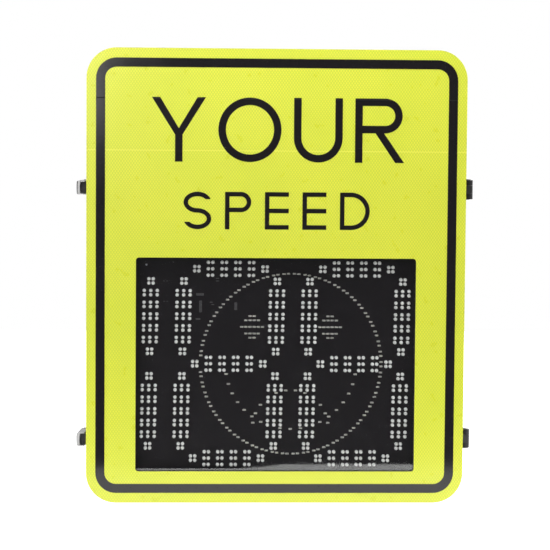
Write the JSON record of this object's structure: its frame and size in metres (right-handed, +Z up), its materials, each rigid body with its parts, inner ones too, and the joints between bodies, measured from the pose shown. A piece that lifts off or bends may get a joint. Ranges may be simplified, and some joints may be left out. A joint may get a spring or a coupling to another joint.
{
  "type": "solar speed sign",
  "caption": "Radar speed sign: reflective yellow-green plate with a black border and legend, LED digit window, hinged front door with side latches, housing and two rear mounting rails.",
  "frame": {"origin": "centre of the four post bolts, on the rear mounting plane of the two rails; it is level with the centre of the sign plate", "axes": "+Z up, +Y rearwards out of the mounting plane, so the sign faces -Y, and +X to the reader's right"},
  "size_m": [0.6447, 0.168, 0.7465],
  "materials": {
    "plate_aluminium": "satin mill finish",
    "reflective_sheeting": "fluorescent yellow-green prismatic sheeting",
    "black_film": "gloss black film",
    "black_powder_coat": "fine-textured black powder coat",
    "rubber": "matt cellular rubber",
    "clear_polycarbonate": "clear gloss sheet",
    "bright_aluminium": "brushed",
    "zinc_steel": "bright zinc plate",
    "black_steel": "satin black powder coat",
    "display_board": "black solder mask",
    "digit_led": "water-clear lens",
    "face_led": "white chip with a pale phosphor",
    "sensor_dome": "tinted clear",
    "board_component": "dull grey moulded parts",
    "chip_black": "moulded matt",
    "control_board": "green solder mask",
    "radar_cover": "matt radome",
    "black_hinge_casting": "satin black casting",
    "stainless_clip": "brushed stainless",
    "black_nylon": "glass-filled nylon",
    "stainless_pin": "turned stainless",
    "stainless_screw": "stainless",
    "battery_case": "dark grey moulded case",
    "strap_metal": "zinc plated strip",
    "controller_case": "blue-grey moulded case",
    "breaker_case": "light grey moulded case",
    "toggle": "black moulded toggle",
    "terminal_plastic": "grey polyamide",
    "gland_nylon": "black nylon"
  },
  "bodies": {
    "root": {"housing_shell": "black_powder_coat", "door_gasket": "rubber", "upper_mounting_rail": "black_steel", "lower_mounting_rail": "black_steel", "rail_bolts": "zinc_steel", "rail_nuts": "zinc_steel", "upper_hinge_frame_leaf": "black_hinge_casting", "lower_hinge_frame_leaf": "black_hinge_casting", "hinge_pins": "stainless_pin", "housing_fitting_screws": "stainless_screw", "upper_latch_base": "black_nylon", "lower_latch_base": "black_nylon", "latch_pins": "stainless_pin", "battery_tray": "black_steel", "left_battery": "battery_case", "right_battery": "battery_case", "battery_strap": "strap_metal", "charge_controller": "controller_case", "din_rail": "zinc_steel", "battery_breaker": "breaker_case", "terminal_blocks": "terminal_plastic", "cable_glands": "gland_nylon", "gland_locknuts": "gland_nylon", "vent_plug": "gland_nylon", "earth_stud": "zinc_steel"},
    "door": {"sign_plate": "plate_aluminium", "reflective_sheeting": "reflective_sheeting", "border_film": "black_film", "legend_film": "black_film", "window_gasket": "rubber", "window_lens": "clear_polycarbonate", "window_retainer": "bright_aluminium", "plate_studs": "zinc_steel", "plate_stud_nuts": "zinc_steel", "door_tray": "black_powder_coat", "carrier_posts": "bright_aluminium", "board_carrier": "bright_aluminium", "carrier_screws": "zinc_steel", "board_standoffs": "zinc_steel", "led_board": "display_board", "board_screws": "zinc_steel", "digit_leds": "digit_led", "face_leds": "face_led", "light_sensor": "sensor_dome", "board_components": "board_component", "driver_chips": "chip_black", "radar_module": "radar_cover", "radar_bracket": "bright_aluminium", "control_standoffs": "zinc_steel", "control_board": "control_board", "control_board_parts": "chip_black", "electronics_screws": "zinc_steel", "upper_hinge_door_leaf": "black_hinge_casting", "lower_hinge_door_leaf": "black_hinge_casting", "upper_latch_keeper": "black_nylon", "lower_latch_keeper": "black_nylon", "door_fitting_screws": "stainless_screw"},
    "upper_latch": {"upper_latch_clip": "stainless_clip"},
    "lower_latch": {"lower_latch_clip": "stainless_clip"},
    "toggle": {"breaker_toggle": "toggle"}
  },
  "joints": [
    {"name": "door_hinge", "type": "hinge", "parent": "root", "child": "door", "pos_m": [0.3139, -0.116, 0], "axis": [0, 0, 1], "range_deg": [0, 110]},
    {"name": "upper_latch_pivot", "type": "hinge", "parent": "root", "child": "upper_latch", "pos_m": [-0.309, -0.084, 0.1415], "axis": [0, 0, -1], "range_deg": [-5, 100]},
    {"name": "lower_latch_pivot", "type": "hinge", "parent": "root", "child": "lower_latch", "pos_m": [-0.309, -0.084, -0.2675], "axis": [0, 0, -1], "range_deg": [-5, 100]},
    {"name": "breaker_toggle_pivot", "type": "hinge", "parent": "root", "child": "toggle", "pos_m": [0.075, -0.089, 0.13], "axis": [-1, 0, 0], "range_deg": [0, 76]}
  ]
}
